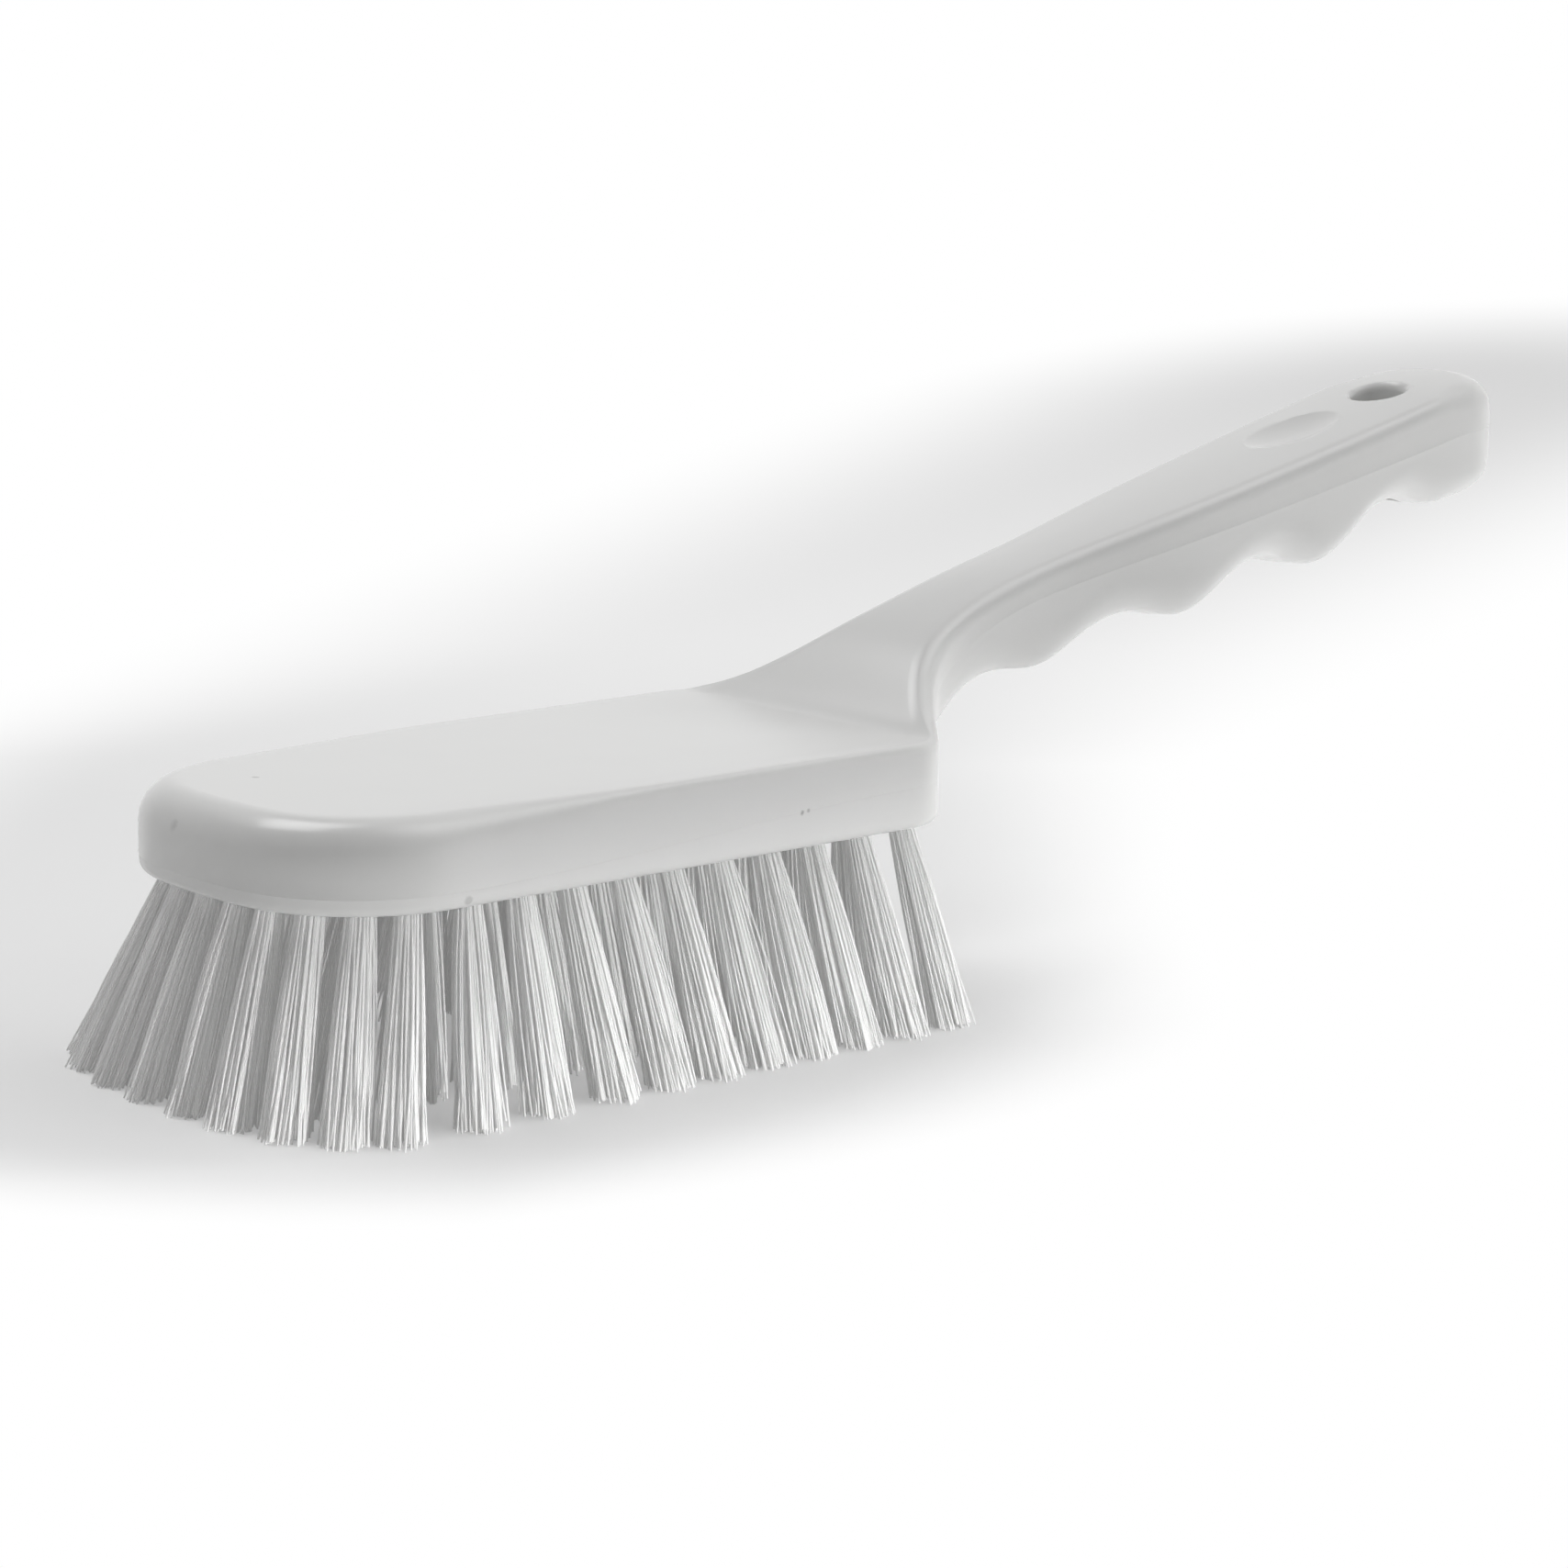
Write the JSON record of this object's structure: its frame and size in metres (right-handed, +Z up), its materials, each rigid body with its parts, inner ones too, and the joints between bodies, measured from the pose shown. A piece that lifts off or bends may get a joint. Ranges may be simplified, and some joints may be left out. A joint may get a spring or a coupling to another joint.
{
  "type": "hand brush",
  "caption": "Hand brush: a flat rounded block with flared filament tufts below and a raised finger-grip handle with a hanging hole.",
  "frame": {"origin": "on the floor plane, below the centre of the brush's bounding box", "axes": "+X along the brush from the nose of the block to the end of the handle, +Y across it, +Z up with the bristle tips on the floor"},
  "size_m": [0.2573, 0.0742, 0.0818],
  "materials": {
    "white_polypropylene": "moulded white plastic, semi-gloss",
    "white_filament": "translucent white synthetic filament, satin"
  },
  "bodies": {
    "root": {"stock": "white_polypropylene", "tuft_nose_near_01": "white_filament", "tuft_nose_near_02": "white_filament", "tuft_nose_near_03": "white_filament", "tuft_nose_near_04": "white_filament", "tuft_nose_near_05": "white_filament", "tuft_outer_near_01": "white_filament", "tuft_outer_near_02": "white_filament", "tuft_outer_near_03": "white_filament", "tuft_outer_near_04": "white_filament", "tuft_outer_near_05": "white_filament", "tuft_outer_near_06": "white_filament", "tuft_outer_near_07": "white_filament", "tuft_outer_near_08": "white_filament", "tuft_outer_near_09": "white_filament", "tuft_outer_near_10": "white_filament", "tuft_inner_near_01": "white_filament", "tuft_inner_near_02": "white_filament", "tuft_inner_near_03": "white_filament", "tuft_inner_near_04": "white_filament", "tuft_inner_near_05": "white_filament", "tuft_inner_near_06": "white_filament", "tuft_inner_near_07": "white_filament", "tuft_inner_near_08": "white_filament", "tuft_inner_near_09": "white_filament", "tuft_inner_near_10": "white_filament", "tuft_nose_far_01": "white_filament", "tuft_nose_far_02": "white_filament", "tuft_nose_far_03": "white_filament", "tuft_nose_far_04": "white_filament", "tuft_nose_far_05": "white_filament", "tuft_outer_far_01": "white_filament", "tuft_outer_far_02": "white_filament", "tuft_outer_far_03": "white_filament", "tuft_outer_far_04": "white_filament", "tuft_outer_far_05": "white_filament", "tuft_outer_far_06": "white_filament", "tuft_outer_far_07": "white_filament", "tuft_outer_far_08": "white_filament", "tuft_outer_far_09": "white_filament", "tuft_outer_far_10": "white_filament", "tuft_inner_far_01": "white_filament", "tuft_inner_far_02": "white_filament", "tuft_inner_far_03": "white_filament", "tuft_inner_far_04": "white_filament", "tuft_inner_far_05": "white_filament", "tuft_inner_far_06": "white_filament", "tuft_inner_far_07": "white_filament", "tuft_inner_far_08": "white_filament", "tuft_inner_far_09": "white_filament", "tuft_inner_far_10": "white_filament", "tuft_middle_01": "white_filament", "tuft_middle_02": "white_filament", "tuft_middle_03": "white_filament", "tuft_middle_04": "white_filament", "tuft_middle_05": "white_filament", "tuft_middle_06": "white_filament", "tuft_middle_07": "white_filament", "tuft_middle_08": "white_filament", "tuft_middle_09": "white_filament"}
  },
  "joints": []
}
